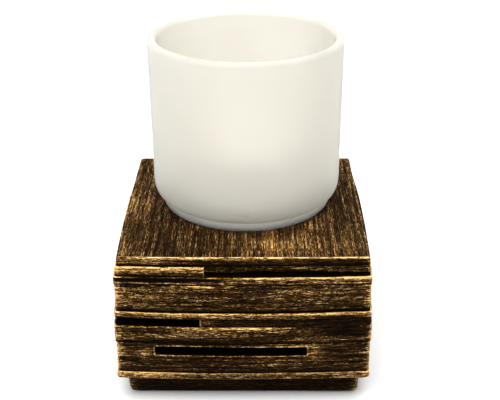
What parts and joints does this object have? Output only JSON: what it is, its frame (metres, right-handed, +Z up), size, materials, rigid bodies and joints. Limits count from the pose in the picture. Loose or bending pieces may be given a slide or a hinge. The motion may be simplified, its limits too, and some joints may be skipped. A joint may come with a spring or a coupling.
{
  "type": "tealight holder",
  "caption": "Square tealight holder: a frosted glass cup in a shallow seat on a block of stacked, gold-brushed dark slats with slots and insets.",
  "frame": {"origin": "centre of the underside of the felt, which stands on the table", "axes": "+Z up, -Y the front face with the long slot, +X to the right seen from the front"},
  "size_m": [0.0976, 0.0976, 0.1255],
  "materials": {
    "felt": "napped felt",
    "core_black": "black stain",
    "slat_dark": "black-brown stain, dry-brushed with dull gold",
    "slat_gold": "black-brown stain, heavily brushed with dull gold",
    "frosted_glass": "acid-frosted",
    "tealight_metal": "thin drawn foil",
    "wax": "waxy",
    "wick": "braided cotton"
  },
  "bodies": {
    "block": {"base_felt": "felt", "plinth": "slat_dark", "core": "core_black", "bottom_slat": "slat_gold", "slotted_slat": "slat_dark", "middle_slat": "slat_dark", "front_gap_strip": "slat_dark", "rear_gap_strip": "slat_dark", "lip_slat": "slat_gold", "wide_slat": "slat_dark", "collar_slat": "slat_gold", "left_upper_strip": "slat_gold", "right_upper_strip": "slat_gold", "top_slab": "slat_dark"},
    "cup": {"glass_cup": "frosted_glass"},
    "tealight": {"tealight_shell": "tealight_metal", "wax": "wax", "wick": "wick", "wick_sustainer": "tealight_metal"}
  },
  "joints": [
    {"name": "cup_lift", "type": "slide", "parent": "block", "child": "cup", "axis": [0, 0, 1], "range_m": [0, 0.08]},
    {"name": "tealight_lift", "type": "slide", "parent": "cup", "child": "tealight", "axis": [0, 0, 1], "range_m": [0, 0.085]}
  ]
}
